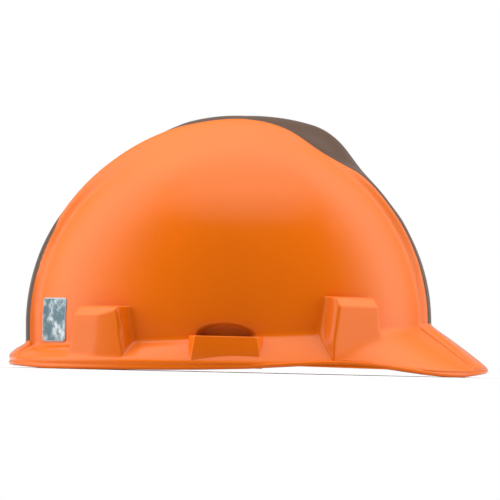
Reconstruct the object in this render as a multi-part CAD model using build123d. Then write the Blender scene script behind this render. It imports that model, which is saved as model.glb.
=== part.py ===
from build123d import *
from math import atan2, cos, degrees, hypot, pi, radians, sin, sqrt
import os

# A cap-style safety helmet for forestry work, in millimetres.
# The origin is on the surface that the helmet stands on, under the middle of the
# shell.  +X is forward (the peak), +Y is the wearer's left and +Z is up.

# ---------------------------------------------------------------- driving dimensions
LENGTH = 285.2              # tip of the peak to the back of the brim
BRIM_WIDTH = 224.0          # across the side brim
HEIGHT = 155.6              # standing surface to the top of the centre crest
DOME_WIDTH = 200.0
SKIN = 2.5                  # wall of the moulded shell
CENTRE_X = -5.0             # widest section of the shell
DOME_FRONT = 112.0          # widest section to the dome's front
DOME_REAR = 126.0
SPRING_Z = 32.0             # height where the dome starts to curve in
JUNCTION_Z = 23.5           # height where dome and brim meet, at the sides
DOME_LEAN = 1.3             # degrees that the dome leans back when the brim stands flat
RIDGE_RISE = 3.0            # ridges stand this far above the dome
REST_Z = 2.6                # the brim is cut off here and the finished parts moved down by it

HEAD_RADIUS = 78.0          # inside of the headband's round ends
HEAD_FRONT_X = 6.0          # centre of the front round end
HEAD_REAR_X = -30.0
BAND_WALL = 1.6
BAND_LOW = 12.0
BAND_HIGH = 40.0
BAND_REAR_LOW = 31.0        # the band's rear ends pass over the nape straps
BAND_GAP_ANGLE = 42.0       # half of the opening at the back of the band

HANG_TRAVEL = 12.0          # height adjustment of the headband
STUD_Z = 35.5               # studs at the top of their slots
STUD_RADIUS = 2.4

PIVOT_X = -14.0
NAPE_Z = 19.0               # axis of the pinion and of the nape pivots
STRAP_WALL = 1.4
STRAP_HALF = 9.0            # half the height of a nape strap
STRAP_IN = {1: 78.6, -1: 80.4}   # inner radius of the left and the right strap
STRAP_END = 72.0
STRAP_TIP = -22.0
ARM_OUT = (82.1, 83.2)      # radii of the outer wall of the nape arms
GUIDE_ARC = (55.0, 80.0)
SLIDE_GAP = 0.3

MODULE = 1.0
TEETH = 10
PITCH_RADIUS = MODULE * TEETH / 2
KNOB_RADIUS = 16.0
HOUSING_ARC = 20.0
HOUSING_LOW = 3.0
HOUSING_HIGH = 35.0
HOUSING_BACK_X = -115.5
CHANNEL = (78.3, 82.1)

STRAP_WIDTH = 20.0          # crown webbing
WEB_WALL = 1.3

LEFT, RIGHT = 1, -1
FAR = 400.0                 # longer than the helmet, for cutting blocks


# ------------------------------------------------------------------- small helpers
def block(x, y, z):
    """A box between two values on each axis."""
    size = [high - low for low, high in (x, y, z)]
    middle = [(high + low) / 2 for low, high in (x, y, z)]
    return Pos(*middle) * Box(*size)


def rod(radius, x_from, x_to, y=0.0, z=NAPE_Z):
    """A cylinder lying along X."""
    length = abs(x_to - x_from)
    return Pos((x_from + x_to) / 2, y, z) * Rot(0, 90, 0) * Cylinder(radius, length)


def mirrored(part):
    return mirror(part, about=Plane.XZ)


def sector(centre_x, inner, outer, angles, z):
    """Part of an upright ring; angles in degrees from +X."""
    start, end = sorted(angles)
    outline = Polyline(
        [(0, 0)]
        + [(FAR * cos(radians(a)), FAR * sin(radians(a)))
           for a in (start, (2 * start + end) / 3, (start + 2 * end) / 3, end)],
        close=True,
    )
    ring = Circle(outer) - Circle(inner)
    face = ring & make_face(outline)
    return Pos(centre_x, 0, z[0]) * extrude(face, z[1] - z[0])


def rear_sector(inner, outer, angles, z):
    """A ring sector round the back of the head; angles from straight back, left positive."""
    return sector(HEAD_REAR_X, inner, outer, [180 - a for a in angles], z)


# ------------------------------------------------------------------------ the shell
def junction_z(x):
    """Height where the dome meets the brim: higher at the front."""
    return JUNCTION_Z + 0.065 * (x - CENTRE_X)


def lip_z(x):
    """Height of the brim's outer edge."""
    return 8.6 - 0.0125 * (x - CENTRE_X)


def oval(front, rear, half_width, height):
    """A closed egg outline; height gives z from x."""
    points = []
    steps = 32
    for step in range(steps):
        turn = 2 * pi * step / steps
        reach = (front + rear) / 2 + (front - rear) / 2 * cos(turn)
        x = CENTRE_X + reach * cos(turn)
        points.append((x, half_width * sin(turn), height(x)))
    return Wire([Edge.make_spline(points, periodic=True)])


def egg_at(inset, height, z):
    """The dome's level outline at a height, as an egg of the dome's full outline times a size."""
    size = sqrt(1 - ((z - SPRING_Z) / height) ** 2) if z > SPRING_Z else 1.0
    return oval((DOME_FRONT - inset) * size, (DOME_REAR - inset) * size,
                (DOME_WIDTH / 2 - inset) * size, lambda x: z)


def dome(inset, foot_z=10.0):
    """The filled dome, round above and upright below, set in from the outer surface."""
    height = HEIGHT - RIDGE_RISE - SPRING_Z - inset
    climbs = [0, 12, 24, 36, 48, 59, 69, 77, 83.5, 87.5]
    levels = [SPRING_Z + height * sin(radians(climb)) for climb in climbs]
    cap = Solid.make_loft([egg_at(inset, height, z) for z in levels])
    foot = Solid.make_loft([egg_at(inset, height, z) for z in (foot_z, SPRING_Z)], ruled=True)
    leaned = Pos(CENTRE_X, 0, JUNCTION_Z) * Rot(0, -DOME_LEAN, 0) * Pos(-CENTRE_X, 0, -JUNCTION_Z)
    return leaned * (Part() + cap + foot)


def brim_oval(inset, level=None, drop=0.0):
    """The brim's outline, level at a height or else along its upper edge."""
    tip = LENGTH / 2 - CENTRE_X - inset
    back = LENGTH / 2 + CENTRE_X - inset
    half_width = BRIM_WIDTH / 2 - inset
    return oval(tip, back, half_width, lambda x: lip_z(x) - drop if level is None else level)


def brim(inset, drop, foot_z=0.0):
    """The sloping brim with its upright lip, as a filled form."""
    tuck = 0.4 + inset
    return Solid.make_loft(
        [
            brim_oval(inset, foot_z),
            brim_oval(inset, drop=drop),
            oval(DOME_FRONT - tuck, DOME_REAR - tuck, DOME_WIDTH / 2 - tuck,
                 lambda x: junction_z(x) - drop),
        ],
        ruled=True,
    )


def band_prism(inner, outer, x_from, x_to):
    """An upright slab between two lines y(x), given as lists of (x, y)."""
    side_a = Spline(inner)
    side_b = Spline(outer)
    ends = Line(inner[0], outer[0]) + Line(inner[-1], outer[-1])
    slab = extrude(make_face(side_a + side_b + ends), FAR)
    return slab & block((x_from, x_to), (-FAR, FAR), (20, FAR))


def ridges():
    """Two side ridges and the centre crest over the crown."""
    envelope = dome(-RIDGE_RISE, foot_z=24.0)
    inner = [(-140, 20), (-5, 21), (55, 31), (120, 27)]
    outer = [(-140, 30), (-5, 36), (55, 39), (120, 37)]
    side_ridge = envelope & band_prism(inner, outer, -133.5, 112.0)
    crest = envelope & block((-60, 66), (-9, 9), (60, FAR))
    return side_ridge + mirrored(side_ridge) + crest


def brim_panels():
    """The raised middle panels of the peak and of the rear brim."""
    raised = Pos(0, 0, 2.0) * brim(0.0, 0.0, foot_z=2.0)
    peak = Polyline([(90, -32), (145, -44), (145, 44), (90, 32)], close=True)
    rear = Polyline([(-110, -24), (-145, -32), (-145, 32), (-110, 24)], close=True)
    plan = extrude(make_face(peak), 60) + extrude(make_face(rear), 60)
    return raised & plan


# The suspension hangs from four pockets on the two diagonals of the dome.
POCKET_FRONT_X = 58.9
POCKET_REAR_X = -84.3
REAR_BOSS = (11.0, 39.5)     # depth from the dome, and height of the top
FRONT_BOSS = (9.0, 47.5)
BOSS_WIDTH = 39.0
POCKET = (1.5, 6.0)         # slot in the boss, measured outwards from the dome
KEY_ARM = (-9.9, -8.0)     # inner arm of the key, measured the same way
KEY_WIDTH = 24.0


def dome_y(x):
    """Half the dome's width at x, from the same egg outline as oval."""
    mean = (DOME_FRONT + DOME_REAR) / 2
    skew = (DOME_FRONT - DOME_REAR) / 2
    cosine = (sqrt(mean ** 2 + 4 * skew * (x - CENTRE_X)) - mean) / (2 * skew)
    return DOME_WIDTH / 2 * sqrt(1 - cosine ** 2)


POCKET_FRONT_Y = dome_y(POCKET_FRONT_X)
POCKET_REAR_Y = dome_y(POCKET_REAR_X)
DIAGONAL = degrees(atan2(POCKET_FRONT_Y + POCKET_REAR_Y, POCKET_FRONT_X - POCKET_REAR_X))
CORNERS = {
    "front_left": (POCKET_FRONT_X, POCKET_FRONT_Y, DIAGONAL),
    "front_right": (POCKET_FRONT_X, -POCKET_FRONT_Y, -DIAGONAL),
    "rear_left": (POCKET_REAR_X, POCKET_REAR_Y, 180 - DIAGONAL),
    "rear_right": (POCKET_REAR_X, -POCKET_REAR_Y, DIAGONAL - 180),
}


def at_corner(corner, part):
    """Place a part made with outwards along +X and upwards along +Z."""
    x, y, angle = CORNERS[corner]
    return Pos(x, y, 0) * Rot(0, 0, angle) * part


def boss(depth, top):
    """The outside of a suspension pocket, with its bevelled top."""
    side = Polyline([(-8, 2), (depth + 0.5, 2), (depth, top - 5), (2, top), (-8, top)],
                    close=True)
    body = extrude(Plane.XZ * make_face(side), BOSS_WIDTH / 2, both=True)
    taper = Polyline([(-22, 0), (22, 0), (15, top + 2.5), (-15, top + 2.5)], close=True)
    return body & extrude(Plane.YZ * make_face(taper), 60, both=True)


SLOT_X = -13.6              # accessory slot on each side
SLOT_LENGTH = 34.0
BAR_OUT = (106.6, 109.4)
BAR_TOP = 23.8


def accessory_bracket():
    """The bar that stands off the side of the shell, with its two ends."""
    face = Polyline([(-21, 6), (21, 6), (18, BAR_TOP), (-18, BAR_TOP)], close=True)
    plate = extrude(Plane.XZ * make_face(face), -BAR_OUT[1]) & block(
        (-FAR, FAR), (90, BAR_OUT[1]), (0, BAR_TOP))
    return Pos(SLOT_X, 0, 0) * plate


def accessory_cuts():
    """The upright slot behind the bar and the shallow scoop above it."""
    half = SLOT_LENGTH / 2
    slot = block((SLOT_X - half, SLOT_X + half), (100.6, BAR_OUT[0]), (-1, 60))
    arch = extrude(Plane.XZ * (Pos(0, 24) * Ellipse(half, 7.5)), -110, -98.7)
    return slot + Pos(SLOT_X, 0, 0) * arch


def brim_arches():
    """The brim's edge lifts a little at the sides and at the tip of the peak."""
    side_arc = ThreePointArc((-104, 0), (4, 4.6), (108, 0))
    side = extrude(Plane.XZ * make_face(side_arc + Line((108, 0), (-104, 0))), FAR, both=True)
    tip_arc = ThreePointArc((-48, 0), (0, 3.0), (48, 0))
    tip = extrude(Plane.YZ * make_face(tip_arc + Line((48, 0), (-48, 0))), FAR)
    return side + tip


def make_shell():
    outside = dome(0.0) + brim(0.0, 0.0) + ridges() + brim_panels()
    footprint = extrude(make_face(brim_oval(1.2, 0.0)), 60)
    for corner in CORNERS:
        size = FRONT_BOSS if corner.startswith("front") else REAR_BOSS
        outside += at_corner(corner, boss(*size)) & footprint
    bracket = accessory_bracket()
    outside += bracket + mirrored(bracket)
    body = outside - dome(SKIN, foot_z=-5.0) - brim(SKIN, 2.4, foot_z=-1.0) - brim_arches()
    pocket = block(POCKET, (-KEY_WIDTH / 2, KEY_WIDTH / 2), (-1, 33))
    for corner in CORNERS:
        body -= at_corner(corner, pocket)
    cuts = accessory_cuts()
    under = block((-FAR, FAR), (-FAR, FAR), (-20, REST_Z))
    return body - cuts - mirrored(cuts) - under


DECAL_X = -114.5
DECAL_WIDTH = 26.0
DECAL_Z = (22.0, 48.0)


def make_decal():
    """A thin reflective patch on the right rear of the dome."""
    film = dome(-0.45, foot_z=15.0) - dome(-0.05, foot_z=12.0)
    y = -dome_y(DECAL_X)
    heading = degrees(atan2(y / (DOME_WIDTH / 2) ** 2, (DECAL_X - CENTRE_X) / DOME_REAR ** 2))
    window = block((-15, 30), (-DECAL_WIDTH / 2, DECAL_WIDTH / 2), DECAL_Z)
    return film & (Pos(DECAL_X, y, 0) * Rot(0, 0, heading) * window)


# ------------------------------------------------------------------- the suspension
KEY_LOW = 8.0
KEY_HEAD_Z = 40.2
KEY_HIGH = 46.0
WEB_FOOT_Z = 41.5
WEB_TOP_Z = 118.0


def make_key(corner):
    """A nylon hook: a tongue up in the pocket, a foot and an inner arm with two slots."""
    half = KEY_WIDTH / 2
    fit = 0.15
    tongue = block((POCKET[0] + fit, POCKET[1] - fit), (-half + fit, half - fit), (KEY_LOW, 31))
    foot = block((KEY_ARM[0], POCKET[1] - fit), (-half + fit, half - fit), (KEY_LOW, 11))
    arm = block(KEY_ARM, (-half, half), (KEY_LOW, KEY_HEAD_Z))
    head = block((KEY_ARM[0] - 0.8, KEY_ARM[1] + 0.8), (-half, half), (KEY_HEAD_Z, KEY_HIGH))
    slot_top = STUD_Z + STUD_RADIUS + SLIDE_GAP
    slot_low = STUD_Z - HANG_TRAVEL - STUD_RADIUS - SLIDE_GAP
    slot_half = STUD_RADIUS + SLIDE_GAP
    stud_slot = block((-12, -5), (-slot_half, slot_half), (slot_low, slot_top))
    middle = sum(KEY_ARM) / 2
    web_slot = block((middle - WEB_WALL / 2, middle + WEB_WALL / 2),
                     (-STRAP_WIDTH / 2, STRAP_WIDTH / 2), (WEB_FOOT_Z, KEY_HIGH + 1))
    return at_corner(corner, tongue + foot + arm + head - stud_slot - web_slot)


def make_crown_strap(direction, lift):
    """Webbing from a front key over the head to the opposite rear key."""
    span = hypot(POCKET_FRONT_X - POCKET_REAR_X, POCKET_FRONT_Y + POCKET_REAR_Y)
    reach = span / 2 + sum(KEY_ARM) / 2
    middle_x = (POCKET_FRONT_X + POCKET_REAR_X) / 2
    middle_y = direction * (POCKET_FRONT_Y - POCKET_REAR_Y) / 2
    rise = WEB_TOP_Z - KEY_HIGH + lift
    half = WEB_WALL / 2
    ring = Ellipse(reach + half, rise + half) - Ellipse(reach - half, rise - half)
    arch = ring & Pos(0, FAR / 2) * Rectangle(FAR, FAR)
    sunk = KEY_HIGH - WEB_FOOT_Z
    for end in (-reach, reach):
        arch += Pos(end, -sunk / 2) * Rectangle(WEB_WALL, sunk)
    webbing = extrude(Plane.XZ * arch, STRAP_WIDTH / 2, both=True)
    return Pos(middle_x, middle_y, KEY_HIGH) * Rot(0, 0, direction * DIAGONAL) * webbing


def stud_reach(corner):
    """Distance from the dome's surface in to the outside of the headband."""
    x, y, angle = CORNERS[corner]
    centre = HEAD_FRONT_X if x > 0 else HEAD_REAR_X
    along = (x - centre) * cos(radians(angle)) + y * sin(radians(angle))
    across = hypot(x - centre, y) ** 2 - along ** 2
    return along - sqrt((HEAD_RADIUS + BAND_WALL) ** 2 - across)


def stud(corner):
    """A round post from the headband through the key's slot, with a flat head."""
    reach = stud_reach(corner)
    post = rod(STUD_RADIUS, -reach - BAND_WALL / 2, KEY_ARM[1] + SLIDE_GAP, z=STUD_Z)
    head = rod(4.4, KEY_ARM[1] + SLIDE_GAP, KEY_ARM[1] + SLIDE_GAP + 1.8, z=STUD_Z)
    collar = rod(3.2, -reach + 1.2, KEY_ARM[0] - SLIDE_GAP, z=STUD_Z)
    return at_corner(corner, post + head + collar)


def make_studs():
    return Compound(children=[stud(corner) for corner in CORNERS])


def head_outline(radius):
    """Two round ends joined by straight sides."""
    span = HEAD_FRONT_X - HEAD_REAR_X
    return Pos((HEAD_FRONT_X + HEAD_REAR_X) / 2, 0) * SlotCenterToCenter(span, 2 * radius)


def make_headband():
    ring = head_outline(HEAD_RADIUS + BAND_WALL) - head_outline(HEAD_RADIUS)
    band = Pos(0, 0, BAND_LOW) * extrude(ring, BAND_HIGH - BAND_LOW)
    band -= block((-FAR, -26), (-FAR, FAR), (0, BAND_REAR_LOW))
    band -= rear_sector(10, FAR / 2, (-BAND_GAP_ANGLE, BAND_GAP_ANGLE), (0, 60))
    for corner in CORNERS:
        reach = stud_reach(corner)
        hole = rod(STUD_RADIUS, -reach - BAND_WALL / 2, -reach + 4, z=STUD_Z)
        band -= at_corner(corner, hole)
    pivot = Pos(PIVOT_X, 0, NAPE_Z) * Rot(90, 0, 0) * Cylinder(2.5, 2 * HEAD_RADIUS + 10)
    return band - pivot


def make_brow_pad():
    return sector(HEAD_FRONT_X, HEAD_RADIUS - 3.8, HEAD_RADIUS - 0.3, (-68, 68), (14, 38))


def pivot_rivet(side):
    """A headed pin that holds a nape arm on the side of the band."""
    parts = [
        (2.5, HEAD_RADIUS, ARM_OUT[1] + 0.2),
        (5.0, HEAD_RADIUS - 0.8, HEAD_RADIUS),
        (5.0, ARM_OUT[1] + 0.2, ARM_OUT[1] + 1.4),
    ]
    pin = Part()
    for radius, start, end in parts:
        middle = side * (start + end) / 2
        pin += Pos(PIVOT_X, middle, NAPE_Z) * Rot(90, 0, 0) * Cylinder(radius, end - start)
    return pin


def make_rivets():
    return Compound(children=[pivot_rivet(LEFT), pivot_rivet(RIGHT)])


# ------------------------------------------------------------- the nape adjustment
def make_nape_arm(side):
    """An arm from the pivot to a sleeve in which the toothed strap slides."""
    inner, outer = ARM_OUT
    tall = (NAPE_Z - 6, NAPE_Z + 6)
    plate = block((HEAD_REAR_X, PIVOT_X), (inner, outer), tall)
    eye = Pos(PIVOT_X, (inner + outer) / 2, NAPE_Z) * Rot(90, 0, 0) * Cylinder(7, outer - inner)
    spacer_y = (HEAD_RADIUS + BAND_WALL + 0.2, inner)
    spacer = Pos(PIVOT_X, sum(spacer_y) / 2, NAPE_Z) * Rot(90, 0, 0) * Cylinder(
        5, spacer_y[1] - spacer_y[0])
    wall = rear_sector(inner, outer, (GUIDE_ARC[0], 90), tall)
    channel_in = STRAP_IN[side] - SLIDE_GAP
    channel_out = STRAP_IN[side] + STRAP_WALL + SLIDE_GAP
    channel_half = STRAP_HALF + SLIDE_GAP
    sleeve = rear_sector(channel_in - 1.3, outer, GUIDE_ARC,
                         (NAPE_Z - channel_half - 1.3, NAPE_Z + channel_half + 1.3))
    channel = rear_sector(channel_in, channel_out, (GUIDE_ARC[0] - 1, GUIDE_ARC[1] + 1),
                          (NAPE_Z - channel_half, NAPE_Z + channel_half))
    bore = Pos(PIVOT_X, 80, NAPE_Z) * Rot(90, 0, 0) * Cylinder(2.56, 20)
    arm = plate + eye + spacer + wall + sleeve - channel - bore
    return arm if side == LEFT else mirrored(arm)


def rack_tooth(radius, tooth_side):
    """One rack tooth at the back of the head, pointing at the pinion."""
    pitch = pi * MODULE
    pitch_z = NAPE_Z + tooth_side * PITCH_RADIUS
    root_z = pitch_z + tooth_side * 1.5 * MODULE
    tip_z = pitch_z - tooth_side * 0.9 * MODULE
    wide, narrow = 0.31 * pitch, 0.12 * pitch
    face = Polyline([(-wide, root_z), (wide, root_z), (narrow, tip_z), (-narrow, tip_z)],
                    close=True)
    tooth = extrude(Plane.YZ * make_face(face), STRAP_WALL)
    return Pos(-radius - STRAP_WALL, 0, 0) * tooth


def make_nape_strap(side):
    """A toothed strap: the left one has its rack above the pinion, the right one below."""
    inner = STRAP_IN[side]
    outer = inner + STRAP_WALL
    low, high = NAPE_Z - STRAP_HALF, NAPE_Z + STRAP_HALF
    strap = rear_sector(inner, outer, (STRAP_TIP, STRAP_END), (low, high))
    rack_root = PITCH_RADIUS + 1.3 * MODULE
    plain_edge = PITCH_RADIUS + 1.4 * MODULE
    if side == LEFT:
        window_z = (NAPE_Z - plain_edge, NAPE_Z + rack_root)
    else:
        window_z = (NAPE_Z - rack_root, NAPE_Z + plain_edge)
    window_angle = -STRAP_TIP - 3.2
    strap -= rear_sector(inner - 1, outer + 1, (-window_angle, window_angle), window_z)
    pitch_angle = degrees(pi * MODULE / (inner + STRAP_WALL / 2))
    count = int(window_angle / pitch_angle)
    for step in range(-count, count):
        turn = (step + 0.5) * pitch_angle
        strap += Pos(HEAD_REAR_X, 0, 0) * Rot(0, 0, turn) * rack_tooth(inner, side)
    for step in range(8):
        rib_angle = 30 + 4.5 * step
        strap -= rear_sector(outer - 0.4, outer + 1, (rib_angle, rib_angle + 1.2),
                             (low + 3, high - 3))
    return strap if side == LEFT else mirrored(strap)


SHAFT_RADIUS = 3.0
NOSE_RADIUS = 2.4
SQUARE = 4.0
KNOB_FRONT_X = -115.8
KNOB_BACK_X = -126.3
SQUARE_END_X = -122.0


def make_pinion():
    """The drive pinion with its nose, round shaft and square end."""
    tooth = Polyline([(3.6, -1.0), (6.0, -0.42), (6.0, 0.42), (3.6, 1.0)], close=True)
    profile = Circle(PITCH_RADIUS - 1.1 * MODULE)
    for step in range(TEETH):
        profile += Rot(0, 0, 90 + 360 * step / TEETH) * make_face(tooth)
    gear_x = (HEAD_REAR_X - CHANNEL[0] - 0.2, HEAD_REAR_X - CHANNEL[1] + 0.5)
    gear = extrude(Plane.YZ * profile, gear_x[1] - gear_x[0])
    gear = Pos(gear_x[0], 0, NAPE_Z) * gear
    nose = rod(NOSE_RADIUS, gear_x[0], gear_x[0] + 1.8)
    shaft = rod(SHAFT_RADIUS, gear_x[1], HOUSING_BACK_X)
    square = block((SQUARE_END_X, HOUSING_BACK_X), (-SQUARE / 2, SQUARE / 2),
                   (NAPE_Z - SQUARE / 2, NAPE_Z + SQUARE / 2))
    screw_hole = rod(1.5, SQUARE_END_X - 1, HOUSING_BACK_X + 0.5)
    return gear + nose + shaft + square - screw_hole


def make_housing():
    """The back casing of the ratchet with the channel for both straps."""
    form = rear_sector(CHANNEL[0], CHANNEL[1] + 4.4, (-HOUSING_ARC, HOUSING_ARC),
                       (HOUSING_LOW, HOUSING_HIGH))
    form = form & block((HOUSING_BACK_X, 0), (-FAR, FAR), (-FAR, FAR))
    outline = Plane.YZ * (Pos(0, NAPE_Z) * RectangleRounded(60, HOUSING_HIGH - HOUSING_LOW, 7))
    form = form & extrude(outline, -FAR)
    channel_half = STRAP_HALF + SLIDE_GAP
    form -= rear_sector(CHANNEL[0] - 1, CHANNEL[1], (-40, 40),
                        (NAPE_Z - channel_half, NAPE_Z + channel_half))
    form -= rod(SHAFT_RADIUS + 0.05, -105, HOUSING_BACK_X - 1)
    return form - rod(9.2, HOUSING_BACK_X + 1.9, HOUSING_BACK_X - 1)


def make_backplate():
    """The plate on the head side that closes the ratchet."""
    plate = rear_sector(CHANNEL[0] - 2.7, CHANNEL[0], (-HOUSING_ARC, HOUSING_ARC),
                        (HOUSING_LOW, HOUSING_HIGH))
    outline = Plane.YZ * (Pos(0, NAPE_Z) * RectangleRounded(60, HOUSING_HIGH - HOUSING_LOW, 7))
    plate = plate & extrude(outline, -FAR)
    nose_end = HEAD_REAR_X - CHANNEL[0] - 0.2 + 1.8
    return plate - rod(NOSE_RADIUS + 0.05, -110, nose_end + 0.1)


def make_click_spring():
    """A springy ring in the housing's cup, with two bumps that click in the knob."""
    ring_x = (HOUSING_BACK_X + 1.8, HOUSING_BACK_X + 0.5)
    ring = rod(8.9, *ring_x) - rod(5.0, ring_x[0] + 1, ring_x[1] - 1)
    for y in (-6.9, 6.9):
        ring += rod(1.0, ring_x[1] + 0.2, KNOB_FRONT_X - 1.6, y=y)
    return ring


def make_knob():
    """The adjusting knob with a fluted grip and a hollow front."""
    grip = rod(KNOB_RADIUS, KNOB_FRONT_X, KNOB_BACK_X)
    for step in range(14):
        turn = 2 * pi * step / 14
        reach = KNOB_RADIUS + 1.6
        grip -= rod(2.6, KNOB_FRONT_X - 2.4, KNOB_BACK_X - 1, y=reach * cos(turn),
                    z=NAPE_Z + reach * sin(turn))
    grip -= rod(10.5, KNOB_FRONT_X + 1, KNOB_FRONT_X - 2.2)
    socket = block((SQUARE_END_X, KNOB_FRONT_X + 1), (-SQUARE / 2, SQUARE / 2),
                   (NAPE_Z - SQUARE / 2, NAPE_Z + SQUARE / 2))
    grip = grip + rod(4.2, KNOB_FRONT_X - 0.2, KNOB_FRONT_X - 3) - socket
    return grip - rod(3.4, KNOB_BACK_X + 2.2, KNOB_BACK_X - 1) - rod(1.7, -118, KNOB_BACK_X - 1)


def make_knob_screw():
    head = rod(3.2, KNOB_BACK_X + 2.2, KNOB_BACK_X + 0.5)
    shank = rod(1.5, KNOB_BACK_X + 2.2, HOUSING_BACK_X - 0.2)
    drive = block((KNOB_BACK_X, KNOB_BACK_X + 1.3), (-2.2, 2.2), (NAPE_Z - 0.4, NAPE_Z + 0.4))
    cross = block((KNOB_BACK_X, KNOB_BACK_X + 1.3), (-0.4, 0.4), (NAPE_Z - 2.2, NAPE_Z + 2.2))
    return head + shank - drive - cross


def make_nape_pad():
    return rear_sector(CHANNEL[0] - 6.2, CHANNEL[0] - 3.0, (-18, 18), (6, 32))


# ------------------------------------------------------------------------- assembly
def parts():
    yield "shell", make_shell()
    yield "reflective_decal", make_decal()
    for corner in CORNERS:
        yield "suspension_key_" + corner, make_key(corner)
    yield "crown_strap_lower", make_crown_strap(LEFT, 0.0)
    yield "crown_strap_upper", make_crown_strap(RIGHT, 2.2)
    yield "headband", make_headband()
    yield "height_studs", make_studs()
    yield "brow_pad", make_brow_pad()
    yield "pivot_rivets", make_rivets()
    yield "nape_arm_left", make_nape_arm(LEFT)
    yield "nape_arm_right", make_nape_arm(RIGHT)
    yield "nape_strap_left", make_nape_strap(LEFT)
    yield "nape_strap_right", make_nape_strap(RIGHT)
    yield "ratchet_housing", make_housing()
    yield "ratchet_backplate", make_backplate()
    yield "click_spring", make_click_spring()
    yield "drive_pinion", make_pinion()
    yield "ratchet_knob", make_knob()
    yield "knob_screw", make_knob_screw()
    yield "nape_pad", make_nape_pad()


os.makedirs("parts", exist_ok=True)
for name, shape in parts():
    lowered = [Pos(0, 0, -REST_Z) * solid for solid in shape.solids()]
    export_step(lowered[0] if len(lowered) == 1 else Compound(lowered), f"parts/{name}.step")
    print(name, len(shape.solids()), round(shape.volume))
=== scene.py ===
from math import atan2, cos, hypot, pi, radians, sin

import bmesh
import bpy
import numpy as np
from bpy.props import FloatProperty, FloatVectorProperty, PointerProperty
from mathutils import Matrix, Vector


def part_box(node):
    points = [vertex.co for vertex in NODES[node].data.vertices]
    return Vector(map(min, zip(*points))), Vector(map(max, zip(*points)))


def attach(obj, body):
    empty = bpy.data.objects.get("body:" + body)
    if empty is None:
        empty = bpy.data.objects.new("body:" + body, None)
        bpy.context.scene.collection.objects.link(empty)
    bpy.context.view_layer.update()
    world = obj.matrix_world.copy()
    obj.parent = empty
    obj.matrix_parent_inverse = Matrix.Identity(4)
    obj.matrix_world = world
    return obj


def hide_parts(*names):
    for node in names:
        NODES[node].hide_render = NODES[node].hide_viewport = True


bl_info = {
    "name": "Forestry safety helmet",
    "version": (1, 0, 0),
    "blender": (4, 5, 0),
    "location": "3D View > Sidebar > Helmet",
    "description": "Builds a cap-style safety helmet and its ratchet suspension",
    "category": "Object",
}

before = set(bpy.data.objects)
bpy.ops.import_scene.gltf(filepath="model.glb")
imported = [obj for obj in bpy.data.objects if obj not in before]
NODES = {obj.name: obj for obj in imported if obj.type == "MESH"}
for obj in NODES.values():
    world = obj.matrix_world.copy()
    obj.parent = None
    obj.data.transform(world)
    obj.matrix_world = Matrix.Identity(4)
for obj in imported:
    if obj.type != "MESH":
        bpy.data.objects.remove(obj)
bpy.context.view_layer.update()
MM = 0.001


def cad_box_mm(node):
    """The lowest and highest corner of a CAD node, in millimetres."""
    low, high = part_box(node)
    return np.array(low) / MM, np.array(high) / MM


SHELL_LOW, SHELL_HIGH = cad_box_mm("shell")
SHELL_MID_X = (SHELL_LOW[0] + SHELL_HIGH[0]) / 2
CORNER_NAMES = ("front_left", "front_right", "rear_left", "rear_right")


# ------------------------------------------------------------------------- settings
def length(name, description, default_mm, low_mm=0.0, high_mm=400.0):
    return FloatProperty(name=name, description=description, default=default_mm * MM,
                         min=low_mm * MM, max=high_mm * MM, subtype="DISTANCE", unit="LENGTH",
                         precision=4)


def colour(name, description, default):
    return FloatVectorProperty(name=name, description=description, default=default,
                               subtype="COLOR", size=3, min=0.0, max=1.0)


class HelmetShellSettings(bpy.types.PropertyGroup):
    """Sizes and colours of the moulded shell."""

    wall: length("Wall", "Thickness of the moulded shell", 2.5, 1.0, 6.0)
    rim: length("Rim", "Radius of the rolled edge round the brim", 1.5, 0.5, 4.0)
    panel_rise: length("Panel rise", "Height of the raised middle of the peak", 2.6, 0.0, 5.0)
    boss_depth: length("Boss depth", "How far the suspension pockets stand out", 11.0, 4.0, 16.0)
    scoop_depth: length("Scoop depth", "Depth of the hollow over the side slots", 3.4, 0.0, 6.0)
    orange: colour("Shell colour", "Moulded-in colour of the shell", (0.84, 0.158, 0.004))
    stripe: colour("Stripe colour", "Paint of the centre stripe", (0.085, 0.040, 0.020))
    film: colour("Decal colour", "Tint of the reflective decal", (0.42, 0.51, 0.54))


class HelmetLiningSettings(bpy.types.PropertyGroup):
    """Sizes and colours of the suspension inside."""

    web_wall: length("Webbing thickness", "Thickness of the crown straps", 1.3, 0.5, 3.0)
    stitch: length("Stitch length", "Length of one stitch", 3.0, 1.0, 8.0)
    pad_crown: length("Pad crown", "How far the pads swell in their middle", 0.9, 0.0, 3.0)
    webbing: colour("Webbing colour", "Colour of the crown straps", (0.055, 0.058, 0.062))
    pad: colour("Pad colour", "Colour of the brow and nape pads", (0.020, 0.021, 0.024))
    band: colour("Band colour", "Colour of the headband", (0.16, 0.165, 0.17))
    nylon: colour("Nylon colour", "Colour of keys and casings", (0.022, 0.022, 0.024))


class HelmetStageSettings(bpy.types.PropertyGroup):
    """The floor, the light and the camera."""

    distance: length("Camera distance", "From the camera to the helmet", 5200.0, 300.0, 9000.0)
    field: length("Field", "Width that the camera takes in at the helmet", 298.0, 50.0, 2000.0)
    elevation: FloatProperty(name="Elevation", description="Camera height above the horizon",
                             default=radians(-0.7), subtype="ANGLE", unit="ROTATION")
    roll: FloatProperty(name="Roll", description="Lean of the camera about its view",
                        default=radians(1.3), subtype="ANGLE", unit="ROTATION")


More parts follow.
